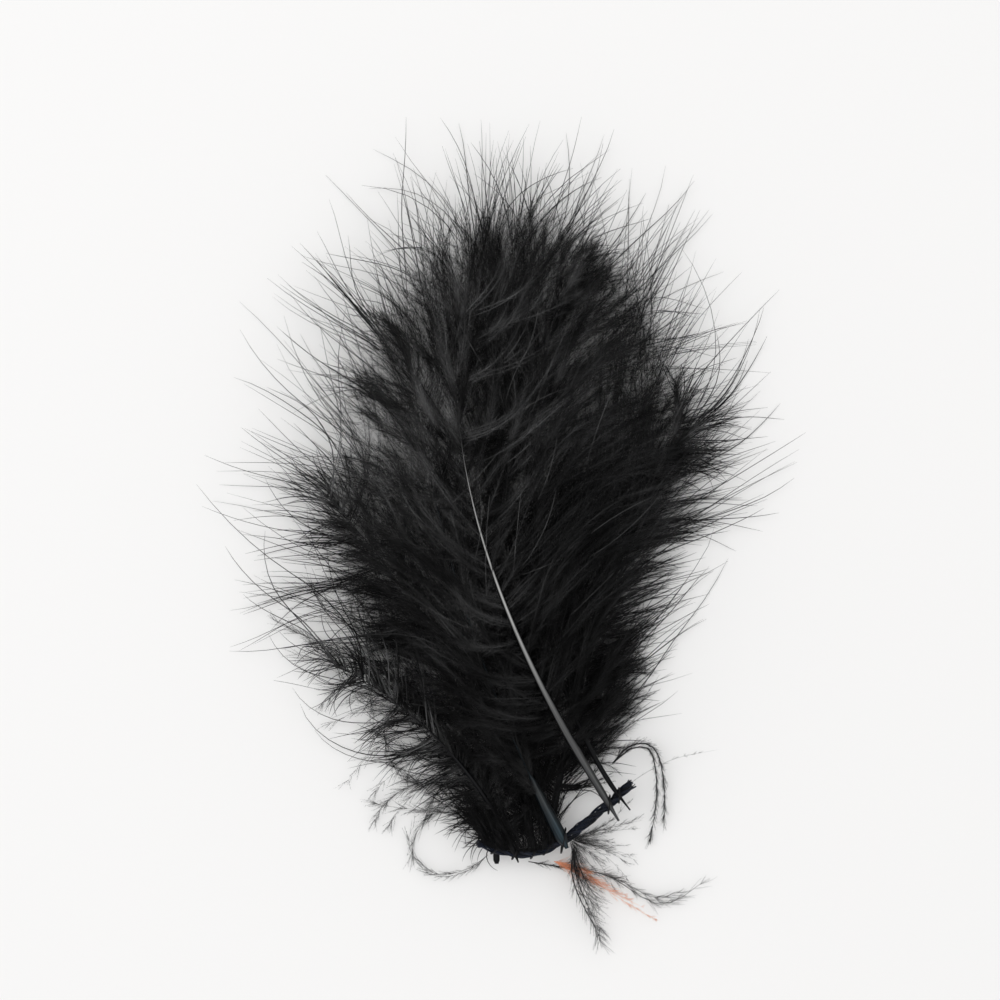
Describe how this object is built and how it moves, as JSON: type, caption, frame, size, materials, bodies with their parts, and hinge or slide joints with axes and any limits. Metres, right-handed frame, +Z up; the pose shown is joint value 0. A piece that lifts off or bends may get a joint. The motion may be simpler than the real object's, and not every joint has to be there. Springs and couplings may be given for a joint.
{
  "type": "marabou feather tuft",
  "caption": "Flat-lying tuft of black marabou down feathers, their quills sewn side by side across a short cut length of stringing cord, as in a feather boa.",
  "frame": {"origin": "middle of the tuft's outline, on the surface that it lies on", "axes": "+Y along the feathers from the cord to the tips, +X to the right with the main quill on top, +Z up from the table"},
  "size_m": [0.1026, 0.1462, 0.0144],
  "materials": {
    "quill": "satin, dyed black keratin",
    "black_down": "soft matt down with a faint sheen",
    "grey_down": "thin wispy down",
    "salmon_down": "thin wispy down",
    "navy_cord": "twisted yarn, slight sheen",
    "sewing_thread": "twisted thread"
  },
  "bodies": {
    "root": {"cord_strand_1": "navy_cord", "cord_strand_2": "navy_cord", "cord_strand_3": "navy_cord", "stitch_2": "sewing_thread", "stitch_3": "sewing_thread", "stitch_4": "sewing_thread", "stitch_5": "sewing_thread", "stitch_6": "sewing_thread", "stitch_7": "sewing_thread", "dyed_plume": "salmon_down"},
    "stitch_1": {"stitch_1": "sewing_thread"},
    "feather_1": {"shaft_1": "quill", "left_vane_1": "black_down", "right_vane_1": "black_down"},
    "feather_2": {"shaft_2": "quill", "left_vane_2": "black_down", "right_vane_2": "black_down", "afterfeather_1": "grey_down"},
    "feather_3": {"shaft_3": "quill", "left_vane_3": "black_down", "right_vane_3": "black_down", "afterfeather_2": "grey_down"},
    "feather_4": {"shaft_4": "quill", "left_vane_4": "black_down", "right_vane_4": "black_down", "afterfeather_4": "grey_down"},
    "feather_5": {"shaft_5": "quill", "left_vane_5": "black_down", "right_vane_5": "black_down", "afterfeather_3": "grey_down"},
    "feather_6": {"shaft_6": "quill", "left_vane_6": "black_down", "right_vane_6": "black_down"},
    "feather_7": {"shaft_7": "quill", "left_vane_7": "black_down", "right_vane_7": "black_down"}
  },
  "joints": [
    {"name": "lift_1", "type": "hinge", "parent": "root", "child": "stitch_1", "pos_m": [0.02092, -0.04734, 0.005], "axis": [0.754, 0.6568, 0], "range_deg": [0, 40]},
    {"name": "swivel_1", "type": "hinge", "parent": "stitch_1", "child": "feather_1", "pos_m": [0.02092, -0.04734, 0.00683], "axis": [0, 0, 1], "range_deg": [-3, 8]},
    {"name": "swivel_2", "type": "hinge", "parent": "root", "child": "feather_2", "pos_m": [0.02272, -0.04575, 0.00658], "axis": [0, 0, 1], "range_deg": [-8, 3]},
    {"name": "swivel_3", "type": "hinge", "parent": "root", "child": "feather_3", "pos_m": [0.01266, -0.0538, 0.00728], "axis": [0, 0, 1], "range_deg": [-5, 5]},
    {"name": "swivel_4", "type": "hinge", "parent": "root", "child": "feather_4", "pos_m": [0.00054, -0.05553, 0.00327], "axis": [0, 0, 1], "range_deg": [-5, 8]},
    {"name": "swivel_5", "type": "hinge", "parent": "root", "child": "feather_5", "pos_m": [0.00745, -0.05606, 0.00327], "axis": [0, 0, 1], "range_deg": [-4, 6]},
    {"name": "swivel_6", "type": "hinge", "parent": "root", "child": "feather_6", "pos_m": [0.01009, -0.05515, 0.00327], "axis": [0, 0, 1], "range_deg": [-5, 4]},
    {"name": "swivel_7", "type": "hinge", "parent": "root", "child": "feather_7", "pos_m": [0.00396, -0.05621, 0.00663], "axis": [0, 0, 1], "range_deg": [-5, 8]}
  ]
}
